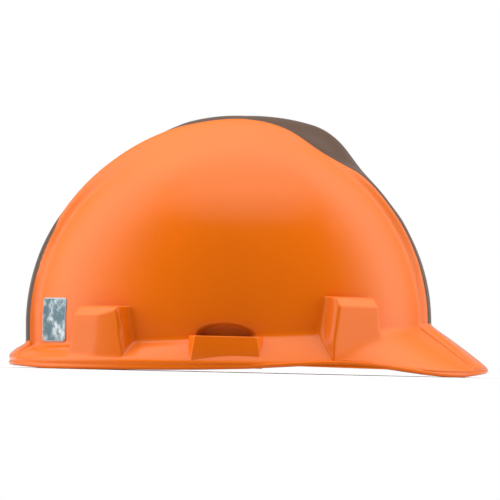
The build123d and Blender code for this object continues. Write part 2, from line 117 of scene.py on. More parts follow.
# ---------------------------------------------------------------------- shader maths
class Value:
    """A shader socket that can be used in arithmetic."""

    def __init__(self, shader, socket):
        self.shader = shader
        self.socket = socket

    def math(self, operation, *others):
        return self.shader.node("ShaderNodeMath", {"operation": operation}, self, *others)

    def __add__(self, other):
        return self.math("ADD", other)

    __radd__ = __add__

    def __sub__(self, other):
        return self.math("SUBTRACT", other)

    def __rsub__(self, other):
        return self.shader.node("ShaderNodeMath", {"operation": "SUBTRACT"}, other, self)

    def __mul__(self, other):
        return self.math("MULTIPLY", other)

    __rmul__ = __mul__

    def __truediv__(self, other):
        return self.math("DIVIDE", other)

    def sine(self):
        return self.math("SINE")

    def power(self, other):
        return self.math("POWER", other)

    def most(self, other):
        return self.math("MAXIMUM", other)

    def step(self, low, high):
        """0 under low, 1 over high, smooth between."""
        return self.shader.node(
            "ShaderNodeMapRange", {"interpolation_type": "SMOOTHSTEP"}, self, low, high, 0.0, 1.0)


class Shader:
    """Builds the nodes of one material, or of the world."""

    def __init__(self, name, world=False):
        made = bpy.data.worlds.new(name) if world else bpy.data.materials.new(name)
        made.use_nodes = True
        self.material = made
        self.tree = made.node_tree
        self.surface = self.tree.nodes["Background" if world else "Principled BSDF"]

    def node(self, kind, settings=None, *values, output=0, **named):
        """A node of that kind: its settings first, then its inputs by order or by name."""
        made = self.tree.nodes.new(kind)
        for key, setting in (settings or {}).items():
            setattr(made, key, setting)
        for index, value in enumerate(values):
            self.feed(made.inputs[index], value)
        for key, value in named.items():
            self.feed(made.inputs[key], value)
        return Value(self, made.outputs[output])

    def feed(self, socket, value):
        if isinstance(value, Value):
            self.tree.links.new(value.socket, socket)
        elif value is not None:
            socket.default_value = value

    def place(self):
        """Where a point is on its piece, in metres."""
        return self.node("ShaderNodeTexCoord", output="Object")

    def axis(self, which):
        return self.node("ShaderNodeSeparateXYZ", None, self.place(), output=which)

    def stored(self, name):
        return self.node("ShaderNodeAttribute", {"attribute_name": name}, output="Fac")

    def noise(self, scale, detail=2.0, roughness=0.5, where=None):
        return self.node("ShaderNodeTexNoise", None, Vector=where or self.place(), Scale=scale,
                         Detail=detail, Roughness=roughness)

    def mix(self, factor, first, second):
        """A colour between two colours."""
        made = self.tree.nodes.new("ShaderNodeMix")
        made.data_type = "RGBA"
        self.feed(made.inputs["Factor"], factor)
        for socket, value in ((made.inputs[6], first), (made.inputs[7], second)):
            self.feed(socket, (*value, 1.0) if isinstance(value, (tuple, list)) else value)
        return Value(self, made.outputs[2])

    def bump(self, height, distance_mm, strength=1.0):
        return self.node("ShaderNodeBump", None, Height=height, Distance=distance_mm * MM,
                         Strength=strength)

    def finish(self, base, roughness, **others):
        """Feeds the surface; a plain number or colour goes straight on its socket."""
        self.feed(self.surface.inputs["Base Color"],
                  (*base, 1.0) if isinstance(base, (tuple, list)) else base)
        self.feed(self.surface.inputs["Roughness"], roughness)
        for key, value in others.items():
            self.feed(self.surface.inputs[key.replace("_", " ")], value)
        return self.material


def tint(rgb, gain):
    return tuple(min(1.0, max(0.0, channel * gain)) for channel in rgb)


# ------------------------------------------------------------------------- materials
def shell_plastic(look):
    """Glossy moulded orange with a brown painted stripe between the side ridges."""
    s = Shader("moulded_shell")
    orange, brown = tuple(look.orange), tuple(look.stripe)
    painted = s.stored("stripe_mm").step(-0.22, 0.22)
    cloud = s.noise(14.0, 3.0)
    plastic = s.mix(cloud.step(0.35, 0.7), tint(orange, 0.97), tint(orange, 1.03))
    flecks = s.noise(900.0, 1.0)
    paint = s.mix(flecks, tint(brown, 0.85), tint(brown, 1.2))
    peel = s.noise(240.0, 2.0)
    fine = s.noise(60.0, 4.0)
    roughness = 0.12 + fine * 0.07 + painted * 0.16
    height = peel * 0.25 + painted * 0.9
    return s.finish(s.mix(painted, plastic, paint), roughness,
                    Normal=s.bump(height, 0.05, 0.35), Specular_IOR_Level=0.22)


def prismatic_film(look):
    """Silvery reflective film: small cells, dark blotches, a plain border and a clear top."""
    s = Shader("reflective_film")
    film = tuple(look.film)
    cells = s.node("ShaderNodeTexVoronoi", {"feature": "F1"}, Vector=s.place(), Scale=420.0,
                   output="Color")
    shade = s.node("ShaderNodeSeparateXYZ", None, cells, output=0)
    broad = s.noise(130.0, 4.0, 0.6)
    silver = s.mix(shade, tint(film, 0.25), tint(film, 1.1))
    blotch = s.mix(broad.step(0.38, 0.6), silver, (0.05, 0.12, 0.15))
    edge = s.stored("edge_mm").step(0.5, 0.9)
    base = s.mix(edge, (0.45, 0.47, 0.48), blotch)
    return s.finish(base, 0.3 + broad * 0.2, Metallic=edge * 0.4,
                    Normal=s.bump(shade, 0.12, 0.6), Coat_Weight=0.15, Coat_Roughness=0.08)


def moulded_nylon(name, rgb, gloss=0.5, grain=700.0):
    """Matt moulded plastic with a fine grain and slightly rubbed high spots."""
    s = Shader(name)
    grainy = s.noise(grain, 3.0, 0.6)
    cloud = s.noise(45.0, 3.0)
    base = s.mix(cloud.step(0.3, 0.75), tint(rgb, 0.86), tint(rgb, 1.18))
    rub = s.noise(160.0, 4.0, 0.7).step(0.58, 0.75)
    return s.finish(base, gloss + grainy * 0.18 - rub * 0.1,
                    Normal=s.bump(grainy, 0.06, 0.45), Specular_IOR_Level=0.45)


def woven_webbing(look):
    """Twill webbing: slanting yarns with a firmer edge; the colour is darker in the grooves and
    lighter on the raised yarns, as painted shade and painted highlight.
    """
    s = Shader("woven_webbing")
    rgb = tuple(look.webbing)
    along = s.stored("along_mm")
    across = s.stored("across_mm")
    warp = (across * (2 * pi / 1.25)).sine() * 0.5 + 0.5
    twill = ((along + across * 1.1) * (2 * pi / 1.5)).sine() * 0.5 + 0.5
    chevron = ((along - across * 1.1) * (2 * pi / 1.5)).sine() * 0.5 + 0.5
    yarn = s.mix((across * (2 * pi / 10.0)).sine().step(-0.1, 0.1), twill_value(s, twill),
                 twill_value(s, chevron))
    height = s.node("ShaderNodeSeparateXYZ", None, yarn, output=0) * 0.7 + warp * 0.3
    fuzz = s.noise(1500.0, 2.0)
    # Colour follows the yarn height: painted shade in the grooves between yarns, painted highlight
    # on the yarn tops.
    base = s.mix(height, tint(rgb, 0.45), tint(rgb, 1.75))
    return s.finish(base, 0.78 + fuzz * 0.15, Normal=s.bump(height + fuzz * 0.2, 0.28, 0.8),
                    Sheen_Weight=0.35, Sheen_Roughness=0.5, Specular_IOR_Level=0.25)


def twill_value(shader, value):
    return shader.node("ShaderNodeCombineXYZ", None, value, value, value)


def pad_cloth(look):
    """Short looped cloth over foam, with painted highlight on the loop tops and painted shade
    between the loops.
    """
    s = Shader("pad_cloth")
    rgb = tuple(look.pad)
    loops = s.node("ShaderNodeTexVoronoi", {"feature": "SMOOTH_F1"}, Vector=s.place(),
                   Scale=900.0, Randomness=0.7)
    cloud = s.noise(70.0, 3.0)
    # Colour lighter at each loop's middle and darker at its edge: painted highlight on the loop
    # tops, painted shade between them.
    base = s.mix(loops.step(0.1, 0.7), tint(rgb, 2.4), tint(rgb, 0.7))
    base = s.mix(cloud.step(0.4, 0.75) * 0.35, base, tint(rgb, 2.0))
    return s.finish(base, 0.86 + cloud * 0.1, Normal=s.bump(1 - loops, 0.35, 0.9),
                    Sheen_Weight=0.45, Sheen_Roughness=0.45, Specular_IOR_Level=0.2)


def thread(rgb):
    s = Shader("sewing_thread")
    ply = s.noise(2600.0, 1.0)
    return s.finish(s.mix(ply, tint(rgb, 0.7), tint(rgb, 1.3)), 0.7,
                    Normal=s.bump(ply, 0.08, 0.6), Sheen_Weight=0.3)


def plated_steel():
    s = Shader("plated_steel")
    lines = s.noise(900.0, 3.0, 0.6)
    base = s.mix(lines, (0.42, 0.42, 0.43), (0.66, 0.66, 0.66))
    return s.finish(base, 0.28 + lines * 0.2, Metallic=1.0, Normal=s.bump(lines, 0.03, 0.4))


# ----------------------------------------------------------------------- mesh making
def new_object(name, points_mm, faces, stored=None):
    """A smooth mesh object from points in millimetres, with named numbers on its points."""
    mesh = bpy.data.meshes.new(name)
    mesh.from_pydata((np.asarray(points_mm) * MM).tolist(), [], faces)
    for key, values in (stored or {}).items():
        numbers = mesh.attributes.new(key, "FLOAT", "POINT")
        numbers.data.foreach_set("value", np.asarray(values, dtype=np.float32))
    mesh.polygons.foreach_set("use_smooth", [True] * len(mesh.polygons))
    mesh.update()
    made = bpy.data.objects.new(name, mesh)
    bpy.context.scene.collection.objects.link(made)
    return made


def drop_loose(piece):
    """Deletes points that no face uses."""
    bm = bmesh.new()
    bm.from_mesh(piece.data)
    bmesh.ops.delete(bm, geom=[v for v in bm.verts if not v.link_faces], context="VERTS")
    bmesh.ops.recalc_face_normals(bm, faces=bm.faces)
    bm.to_mesh(piece.data)
    bm.free()


def finish_piece(piece, body, material, slot, *nodes):
    """Gives a piece its material and body, and hides the CAD nodes that it stands for. The slot is
    not used.
    """
    piece.data.materials.clear()
    piece.data.materials.append(material)
    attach(piece, body)
    if nodes:
        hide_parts(*nodes)
    return piece


def dress(node, material, bevel_mm=0.0):
    """Gives a CAD node a better material and softens its sharp edges."""
    piece = NODES[node]
    if not piece.material_slots:
        piece.data.materials.append(material)
    for slot in piece.material_slots:
        slot.link = "OBJECT"
        slot.material = material
    if bevel_mm:
        soften = piece.modifiers.new("soft_edges", "BEVEL")
        soften.width = bevel_mm * MM
        soften.segments = 2
        soften.limit_method = "ANGLE"
        soften.angle_limit = radians(38)
        soften.harden_normals = False


# --------------------------------------------------------------------- the shell form
class ShellForm:
    """The moulded shell's surface, worked out in millimetres in the frame's axes.

    turn is the angle round the helmet from the front; climb is the angle up the dome.
    """

    CENTRE_X = SHELL_MID_X - 5.0
    DOME_FRONT, DOME_REAR = 112.0, 126.0
    DOME_HALF = 100.0
    SPRING_Z = 29.4
    RISE = SHELL_HIGH[2] - 3.0 - SPRING_Z
    JUNCTION_Z = 20.9
    LEAN = radians(1.3)
    TIP = SHELL_HIGH[0] - CENTRE_X
    BACK = CENTRE_X - SHELL_LOW[0]
    BRIM_HALF = (SHELL_HIGH[1] - SHELL_LOW[1]) / 2
    FILLET = 2.2
    # Where the raised panels end, in degrees from the front, and how softly they do.
    FRONT_PANEL, REAR_PANEL = 20.4, 164.8
    PANEL_SOFT = 0.55
    PANEL_STEPS = (-PANEL_SOFT, -0.18, 0.18, PANEL_SOFT)

    # Height of the brim's lower edge along the helmet.
    SIDE_ARCH = ((-112, 0.0), (-80, 0.25), (-50, 0.7), (-29, 1.25), (0, 2.4), (20, 3.8),
                 (35, 4.9), (48, 5.5), (60, 5.6), (72, 5.0), (84, 3.8), (98, 2.0), (108, 0.8),
                 (118, 0.0))

    # Design values against the angle over the crown: 0 front, 90 top, 180 rear.
    CREST = ((0, 1.6), (10, 1.5), (18, 0.9), (25, 0.2), (31, -0.1), (36, -1.0), (46, -1.3),
             (50, -0.8), (54, 1.2), (59, 4.4), (63, 6.0), (67, 6.5), (72, 5.5), (80, 4.1),
             (88, 3.1), (96, 3.4), (104, 3.2), (112, 1.4), (125, 0.4), (140, 0.2), (150, 1.2),
             (158, 1.7), (180, 2.2))
    VALLEY = ((0, 2.0), (18, 1.3), (36, -0.6), (46, -0.9), (60, -0.2), (66, -0.1), (72, 0.8),
              (80, 1.6), (100, 1.8), (112, 1.0), (130, 1.2), (150, 1.8), (180, 2.4))
    VALLEY_Y = ((0, 15), (50, 17), (60, 27), (72, 26), (84, 16), (180, 14))
    RIDGE = ((0, 4.0), (18, 4.4), (31, 4.3), (41, 3.9), (46, 3.7), (50, 3.2), (55, 1.6),
             (60, 0.9), (65, 1.0), (72, 3.0), (75, 4.0), (82, 5.0), (90, 5.6), (109, 5.7),
             (118, 5.3), (127, 4.8), (147, 4.6), (167, 4.9), (180, 5.0))
    RIDGE_Y = ((0, 27), (10, 28), (20, 30), (35, 32.5), (50, 33.5), (57, 35.5), (62, 36),
               (68, 34.5), (75, 31), (82, 28.5), (90, 27), (120, 26), (150, 25), (180, 24))
    FOOT_Y = ((0, 34), (20, 37), (50, 40), (66, 40), (72, 41.5), (90, 45), (118, 42),
              (127, 38), (142, 31), (180, 29))
    FOOT = ((0, 0.0), (60, 0.3), (78, 1.5), (90, 2.0), (108, 1.6), (125, 1.0), (140, 0.3),
            (180, 0.0))
    STRIPE_EDGE = ((0, 1.2), (50, 0.6), (104, 0.2), (110, -2.5), (145, -2.5), (152, 1.5),
                   (180, 1.5))

    def __init__(self, look):
        self.wall = look.wall / MM
        self.rim = look.rim / MM
        self.panel_rise = look.panel_rise / MM
        self.boss_depth = look.boss_depth / MM
        self.scoop_depth = look.scoop_depth / MM

    @staticmethod
    def along(table, over):
        angles, values = zip(*table)
        soft = (-1.2, 0.0, 1.2)
        return sum(np.interp(over + shift, angles, values) for shift in soft) / len(soft)

    def egg(self, turn, front, rear, half):
        reach = (front + rear) / 2 + (front - rear) / 2 * np.cos(turn)
        return self.CENTRE_X + reach * np.cos(turn), half * np.sin(turn)

    def relief(self, over, side):
        """How far the ridges lift the surface, from the angle over the crown and y."""
        crest = self.along(self.CREST, over)
        ridge_y = self.along(self.RIDGE_Y, over)
        foot_y = self.along(self.FOOT_Y, over)
        ridge = self.along(self.RIDGE, over)
        foot = self.along(self.FOOT, over)
        corners = (
            (0.0 * over, crest),
            (6.5 + 0 * over, crest - 0.4),
            (self.along(self.VALLEY_Y, over), self.along(self.VALLEY, over)),
            (ridge_y - 4.0, ridge - 1.6),
            (ridge_y, ridge),
            (foot_y, foot),
            (foot_y + 28.0, 0 * over),
        )
        total = 0.0
        softness = (-1.5, -0.75, 0.0, 0.75, 1.5)
        for shift in softness:
            place = np.abs(np.abs(side) + shift)
            height = crest
            for (y_a, h_a), (y_b, h_b) in zip(corners, corners[1:]):
                part = np.clip((place - y_a) / np.maximum(y_b - y_a, 0.5), 0, 1)
                height = np.where(place > y_a, h_a + (h_b - h_a) * part, height)
            total = total + height
        return total / len(softness)

    def lean(self, points):
        x = points[:, 0] - self.CENTRE_X
        z = points[:, 2] - self.JUNCTION_Z
        leaned_x = self.CENTRE_X + x * cos(self.LEAN) - z * sin(self.LEAN)
        leaned_z = self.JUNCTION_Z + x * sin(self.LEAN) + z * cos(self.LEAN)
        return np.stack([leaned_x, points[:, 1], leaned_z], axis=1)

    def dome(self, turn, climb, inset=0.0, plain=False):
        """Points on the dome at a climb, with the stripe's distance at each."""
        size = np.cos(climb) + 0 * turn
        x, y = self.egg(turn, self.DOME_FRONT - inset, self.DOME_REAR - inset,
                        self.DOME_HALF - inset)
        x = self.CENTRE_X + (x - self.CENTRE_X) * size
        y = y * size
        z = self.SPRING_Z + (self.RISE - inset) * np.sin(climb) + 0 * turn
        over = np.degrees(np.arctan2(np.sin(climb) + 0 * turn, size * np.cos(turn)))
        points = np.stack([x, y, z], axis=1)
        if not plain:
            points = points + self.normals(turn, climb) * self.relief(over, y)[:, None]
        stripe = self.along(self.RIDGE_Y, over) + self.along(self.STRIPE_EDGE, over) - np.abs(y)
        return self.lean(points), stripe

    def climb_to(self, turn, z):
        """The climb that reaches a height once the dome leans."""
        x = self.egg(turn, self.DOME_FRONT, self.DOME_REAR, self.DOME_HALF)[0] - self.CENTRE_X
        upright = self.JUNCTION_Z + (z - self.JUNCTION_Z - x * sin(self.LEAN)) / cos(self.LEAN)
        return np.arcsin(np.clip((upright - self.SPRING_Z) / self.RISE, 0.0, 1.0))

    def normals(self, turn, climb):
        reach = (self.DOME_FRONT + self.DOME_REAR) / 2
        out = np.stack([np.cos(turn) * np.cos(climb) / reach,
                        np.sin(turn) * np.cos(climb) / self.DOME_HALF,
                        np.sin(climb) / self.RISE + 0 * turn], axis=1)
        return out / np.linalg.norm(out, axis=1)[:, None]

    def panel(self, turn):
        """1 on the raised middle panels of the peak and the rear brim."""
        angle = np.degrees(np.abs(turn))
        soft = self.PANEL_SOFT
        front = 1 - smooth(self.FRONT_PANEL - soft, self.FRONT_PANEL + soft, angle)
        rear = smooth(self.REAR_PANEL - soft, self.REAR_PANEL + soft, angle)
        return front + rear

    def edge_low(self, x, y):
        """Height of the brim's lower edge: lifted at the sides and at the tip."""
        sides = np.interp(x, *zip(*self.SIDE_ARCH))
        tip = 2.6 * np.clip(1 - (y / 48.0) ** 2, 0, None) * (x > self.CENTRE_X + 90)
        back = 1.6 * np.clip(1 - (y / 60.0) ** 2, 0, None) * (x < self.CENTRE_X - 90)
        return sides + tip + back

    def skirt(self, turn):
        """For each turn: wall foot, direction out, brim width, junction, lip and edge heights."""
        foot = self.dome(turn, 0.0 * turn)[0]
        brim_x, brim_y = self.egg(turn, self.TIP, self.BACK, self.BRIM_HALF)
        out = np.stack([brim_x - foot[:, 0], brim_y - foot[:, 1]], axis=1)
        width = np.linalg.norm(out, axis=1)
        rise = self.panel_rise * self.panel(turn)
        junction = self.JUNCTION_Z + 0.065 * (foot[:, 0] - self.CENTRE_X) + rise * 0.8
        lip = 6.0 - 0.0125 * np.clip(brim_x - self.CENTRE_X, 0, None) + rise * 0.7
        return {"foot": foot, "out": out / width[:, None], "width": width,
                "junction": junction, "lip": lip, "low": self.edge_low(brim_x, brim_y)}

    def corner_top(self, skirt):
        """Where the wall starts to round into the brim."""
        return np.minimum(skirt["junction"] + self.FILLET, skirt["foot"][:, 2] - 0.4)

    def at(self, skirt, depth, z):
        """Points out from the wall's foot by depth, at height z."""
        foot, out = skirt["foot"], skirt["out"]
        wall_x = foot[:, 0] - sin(self.LEAN) * (z - foot[:, 2]) * (depth < 4)
        return np.stack([wall_x + out[:, 0] * depth, foot[:, 1] + out[:, 1] * depth,
                         z + 0 * depth], axis=1)

    def slope(self, skirt, part, under=False):
        """Depth and height on the brim's slope, part of the way from wall to lip."""
        depth = skirt["width"] * part
        z = skirt["junction"] + (skirt["lip"] - skirt["junction"]) * part
        z = z + 0.7 * 4 * part * (1 - part)
        if under:
            return depth - 1.2 - 1.3 * (1 - part), z - self.wall - 0.2
        return depth, z


def smooth(low, high, value):
    part = np.clip((value - low) / (high - low), 0, 1)
    return part * part * (3 - 2 * part)


def curve(start, control, end, part):
    """A point on a round corner between two (depth, height) pairs."""
    return tuple((1 - part) ** 2 * a + 2 * part * (1 - part) * b + part ** 2 * c
                 for a, b, c in zip(start, control, end))


class Boss:
    """A suspension pocket's outside on the dome, and how it lifts the surface."""

    REAR_TOP, FRONT_TOP = 36.9, 45.2
    FRONT_SHALLOWER = 3.5
    WIDEST_HALF = 19.5
    REACH = 30.0

    # Across the boss's side: distance out from its edge, and share of the full lift there.
    EDGE = ((1.3, 0.0), (0.6, 0.03), (0.28, 0.12), (0.08, 0.36), (-0.08, 0.66), (-0.28, 0.9),
            (-0.6, 0.98), (-1.3, 1.0))

    def __init__(self, form, corner):
        self.form = form
        self.place, self.out = corner_frame(corner)
        self.side = Vector((-self.out.y, self.out.x))
        front = corner.startswith("front")
        self.face = form.boss_depth - (self.FRONT_SHALLOWER if front else 0.0)
        self.top = self.FRONT_TOP if front else self.REAR_TOP

    def half(self, z):
        return np.minimum(self.WIDEST_HALF, 21.5 - (z - self.top + self.REAR_TOP) / 6.0)

    def depth(self, z):
        """How far the boss stands out: an upright face, a bevel and a level top."""
        bevel = self.face - (z - self.top + 5.0) * 0.75
        level = bevel - smooth(self.top, self.top + 0.9, z) * 20.0
        return np.minimum(self.face + 0.02 * np.clip(20 - z, 0, None), level)

    def lateral(self, points):
        return ((points[:, 0] - self.place.x) * self.side.x
                + (points[:, 1] - self.place.y) * self.side.y)

    def lift(self, points):
        """Moves points out onto the boss where it stands proud of them."""
        t = self.lateral(points)
        z = points[:, 2]
        offsets, shares = zip(*reversed(self.EDGE))
        share = np.interp(np.abs(t) - self.half(z), offsets, shares)
        base = ((points[:, 0] - self.place.x) * self.out.x
                + (points[:, 1] - self.place.y) * self.out.y)
        proud = self.depth(z) - base
        proud = 0.5 * (proud + np.sqrt(proud ** 2 + 0.5)) * (z > 1)
        move = np.where(np.abs(t) < self.REACH, proud * share, 0.0)
        move = move * self.room(points, move)
        return points + np.stack([self.out.x * move, self.out.y * move, 0 * move], axis=1)

    def room(self, points, move):
        """The share of the move that stays inside the brim's outline."""
        form = self.form

        def size(x, y):
            turn = np.arctan2(y / form.BRIM_HALF, (x - form.CENTRE_X) / form.TIP)
            edge_x, edge_y = form.egg(turn, form.TIP - 1.2, form.BACK - 1.2, form.BRIM_HALF - 1.2)
            return np.hypot(x - form.CENTRE_X, y) / np.hypot(edge_x - form.CENTRE_X, edge_y)

        start = size(points[:, 0], points[:, 1])
        end = size(points[:, 0] + self.out.x * move, points[:, 1] + self.out.y * move)
        room = (1 - start) / np.maximum(end - start, 1e-6)
        return np.where(end > 1, np.clip(room, 0, 1), 1.0)


def corner_frame(corner):
    """Where a suspension key meets the dome, and the direction out, from the CAD keys."""
    low, high = cad_box_mm("suspension_key_" + corner)
    middle = (low + high) / 2
    diagonal = suspension_heading()
    heading = {"front_left": diagonal, "front_right": -diagonal,
               "rear_left": pi - diagonal, "rear_right": diagonal - pi}[corner]
    out = Vector((cos(heading), sin(heading)))
    key_to_dome = 2.65
    return Vector((middle[0], middle[1])) + out * key_to_dome, out


def suspension_heading():
    """The angle of the crown straps from straight ahead."""
    front = sum(cad_box_mm("suspension_key_front_left")) / 2
    rear = sum(cad_box_mm("suspension_key_rear_right")) / 2
    return atan2(front[1] - rear[1], front[0] - rear[0])


class ShellMesh:
    """Rings of points over the outside, round the rim and up the inside."""

    SLOT_X, SLOT_HALF = -13.6, 17.0
    BRACKET_HALF = 22.0
    BAR_TOP = 21.2
    LAST_LEVEL = 33.0
    UNPAINTED = -9.0

    # Columns between knots, from the front round to the rear; a boss's edge takes seven.
    COLUMNS = (12, 1, 1, 1, 16, 7, 16, 7, 12, 5, 24, 5, 14, 7, 16, 7, 12, 1, 1, 1, 8)

    def __init__(self, form):
        self.form = form
        self.bosses = [Boss(form, "front_left"), Boss(form, "rear_left")]
        self.knots = np.cumsum((0,) + self.COLUMNS)
        self.half_count = int(self.knots[-1])
        self.points, self.stripe = [], []
        self.fine = np.radians(np.arange(0, 180.01, 0.1))

    def turns(self, ring, z_blend):
        """The turn of each column on a ring, lined up with bosses, slot and panels."""
        points = ring(self.fine)
        z = points[:, 2]
        knots = [0.0]
        knots += [radians(self.form.FRONT_PANEL + d) for d in self.form.PANEL_STEPS]
        columns = [0] + list(self.knots[1:5])
        at = 5
        for boss, is_front in ((self.bosses[0], True), (self.bosses[1], False)):
            if not is_front:
                slide = self.SLOT_X - points[:, 0]
                for offset in (-self.BRACKET_HALF, -self.SLOT_HALF, self.SLOT_HALF,
                               self.BRACKET_HALF):
                    knots.append(np.interp(offset, slide, self.fine))
                    columns.append(self.knots[at])
                    at += 1
            t = boss.lateral(points)
            near = np.abs(t) < 45
            near &= (self.fine < radians(100)) == is_front
            t_near, turn_near = t[near], self.fine[near]
            half = float(np.interp(0.0, t_near, boss.half(z[near])))
            offsets = [offset for offset, _ in boss.EDGE]
            for index, offset in enumerate(offsets):
                knots.append(np.interp(-half - offset, t_near, turn_near))
                columns.append(self.knots[at] + index)
            for index, offset in enumerate(reversed(offsets)):
                knots.append(np.interp(half + offset, t_near, turn_near))
                columns.append(self.knots[at + 2] + index)
            at += 4
        for d in self.form.PANEL_STEPS:
            knots.append(radians(self.form.REAR_PANEL + d))
            columns.append(self.knots[at])
            at += 1
        knots.append(pi)
        columns.append(self.knots[at])
        index = np.arange(self.half_count + 1)
        lined = np.interp(index, columns, knots)
        even = index / self.half_count * pi
        return lined + (even - lined) * z_blend

    def whole(self, half):
        """A closed ring from its left half."""
        other = half[-2:0:-1].copy()
        if half.ndim == 2:
            other[:, 1] *= -1
        return np.concatenate([half, other])

    def scoop(self, points):
        """The hollow over the accessory slot: how deep at each point."""
        t = (points[:, 0] - self.SLOT_X) / (self.SLOT_HALF + 0.3)
        up = (points[:, 2] - self.BAR_TOP) / 7.6
        inside = 1 - np.sqrt(t ** 2 + np.clip(up, 0, None) ** 2)
        return self.form.scoop_depth * smooth(0.0, 0.16, inside)

    def add(self, points, stripe):
        self.points.append(self.whole(points))
        self.stripe.append(self.whole(stripe))

    def outer_rings(self):
        form = self.form
        for climb in np.arange(89.3, 11.0, -0.9):
            angle = radians(climb)
            blend = smooth(11.0, 24.0, np.array(climb))
            turn = self.turns(lambda fine: form.dome(fine, angle)[0], blend)
            points, stripe = form.dome(turn, angle)
            self.add(self.dressed(points), stripe)
        for z in self.levels():
            turn = self.turns(lambda fine: form.dome(fine, form.climb_to(fine, z))[0], 0.0)
            points, stripe = form.dome(turn, form.climb_to(turn, z))
            self.add(self.dressed(points), stripe)
        for part in np.linspace(1, 0, 9)[1:]:
            turn = self.turns(
                lambda fine: form.dome(fine, form.climb_to(fine, self.LAST_LEVEL) * part)[0],
                0.0)
            points, stripe = form.dome(turn, form.climb_to(turn, self.LAST_LEVEL) * part)
            self.add(self.dressed(points), stripe)
        for part in np.linspace(0, 1, 9)[1:]:
            def ring(turn, part=part):
                skirt = form.skirt(turn)
                top = skirt["foot"][:, 2]
                z = top + (form.corner_top(skirt) - top) * part
                return form.at(skirt, 0 * z, z)
            self.skirt_ring(ring)
        for part in np.linspace(0, 1, 7)[1:]:
            def ring(turn, part=part):
                skirt = form.skirt(turn)
                top = form.corner_top(skirt)
                control = (0 * turn, skirt["junction"])
                depth, z = curve((0 * turn, top), control, form.slope(skirt, 0.14), part)
                points = form.at(skirt, depth, z)
                straight = form.at(skirt, 0 * turn, top - 4.0 * part)
                return np.where(self.in_slot(points)[:, None], straight, points)
            self.skirt_ring(ring)
        for part in (0.26, 0.38, 0.5, 0.61, 0.72, 0.82, 0.89):
            self.skirt_ring(lambda turn, part=part: form.at(
                form.skirt(turn), *form.slope(form.skirt(turn), part)))
        for part in (0.25, 0.5, 0.75, 1.0):
            def ring(turn, part=part):
                skirt = form.skirt(turn)
                control = (skirt["width"], skirt["lip"])
                end = (skirt["width"], skirt["lip"] - 1.0)
                return form.at(skirt, *curve(form.slope(skirt, 0.89), control, end, part))
            self.skirt_ring(ring)

    def levels(self):
        """Heights of the level rings: close together where a boss has its flat top."""
        wide = np.arange(50.5, 32.5, -0.9)
        tops = [boss.top + d for boss in self.bosses for d in (0.0, 0.3, 0.6, 0.9)]
        clear = [z for z in wide
                 if all(abs(z - boss.top - 0.45) > 0.8 for boss in self.bosses)]
        return sorted(clear + tops, reverse=True)

    def in_slot(self, points):
        return np.abs(points[:, 0] - self.SLOT_X) < self.SLOT_HALF + 0.05

    def skirt_ring(self, ring, dressed=True):
        turn = self.turns(ring, 0.0)
        points = ring(turn)
        stripe = self.form.dome(turn, 0.0 * turn)[1]
        skirt = self.form.skirt(turn)
        stripe = np.minimum(stripe, points[:, 2] - skirt["junction"] - 1.2)
        if not dressed:
            stripe = stripe * 0 + self.UNPAINTED
        self.add(self.dressed(points) if dressed else points, stripe)

    def dressed(self, points):
        """Adds the bosses and the scoop to points of the outside."""
        for boss in self.bosses:
            points = boss.lift(points)
        hollow = self.scoop(points) * (points[:, 1] > 0) * (points[:, 1] < 101.5)
        points = points.copy()
        points[:, 1] -= hollow
        return points

    def rim_rings(self):
        """The rolled edge, from the lip's outside to its inside."""
        form, rim = self.form, self.form.rim
        for part in (0.5, 1.0):
            def ring(turn, part=part):
                skirt = form.skirt(turn)
                top = skirt["lip"] - 1.0
                z = top + (skirt["low"] + 2.2 * rim - top) * part
                return form.at(skirt, skirt["width"] - 0.1, np.minimum(z, top - 0.05 * part))
            self.skirt_ring(ring)
        for angle in range(-50, 231, 28):
            def ring(turn, angle=angle):
                skirt = form.skirt(turn)
                depth = skirt["width"] - rim + 0.25 + rim * cos(radians(angle))
                z = skirt["low"] + rim - rim * sin(radians(angle))
                return form.at(skirt, depth, z)
            self.skirt_ring(ring, dressed=False)

    def inner_rings(self):
        form, wall = self.form, self.form.wall
        for part in (0.0, 0.5, 1.0):
            def ring(turn, part=part):
                skirt = form.skirt(turn)
                end = form.slope(skirt, 0.82, under=True)
                start = (skirt["width"] - wall, skirt["low"] + 2.4 * form.rim)
                control = (skirt["width"] - wall, np.maximum(end[1], start[1]))
                return form.at(skirt, *curve(start, control, end, part))
            self.skirt_ring(ring, dressed=False)
        for part in (0.72, 0.61, 0.5, 0.38, 0.26):
            self.skirt_ring(lambda turn, part=part: form.at(
                form.skirt(turn), *form.slope(form.skirt(turn), part, under=True)), False)
        for part in np.linspace(1, 0, 5)[:-1]:
            def ring(turn, part=part):
                skirt = form.skirt(turn)
                top = form.corner_top(skirt)
                start = (0 * turn - wall, top)
                control = (0 * turn - wall, skirt["junction"] - 2.0)
                depth, z = curve(start, control, form.slope(skirt, 0.14, under=True), part)
                points = form.at(skirt, depth, z)
                straight = form.at(skirt, 0 * turn - wall - 0.4, top - 4.0 * part)
                return np.where(self.in_slot(points)[:, None], straight, points)
            self.inner_ring(ring)
        for part in (0.0, 0.35, 0.7):
            def ring(turn, part=part):
                skirt = form.skirt(turn)
                low = form.corner_top(skirt)
                return form.at(skirt, 0 * turn - wall, low + (skirt["foot"][:, 2] - low) * part)
            self.inner_ring(ring)
        for climb in list(np.arange(0.0, 10.0, 1.5)) + list(np.arange(11.0, 88.0, 3.0)):
            angle = radians(float(climb))
            blend = smooth(6.0, 20.0, np.array(climb))
            turn = self.turns(lambda fine: form.dome(fine, angle)[0], blend)
            self.add_inner(turn, form.dome(turn, angle, inset=wall, plain=True)[0])

    def inner_ring(self, ring):
        turn = self.turns(ring, 0.0)
        self.add_inner(turn, ring(turn))

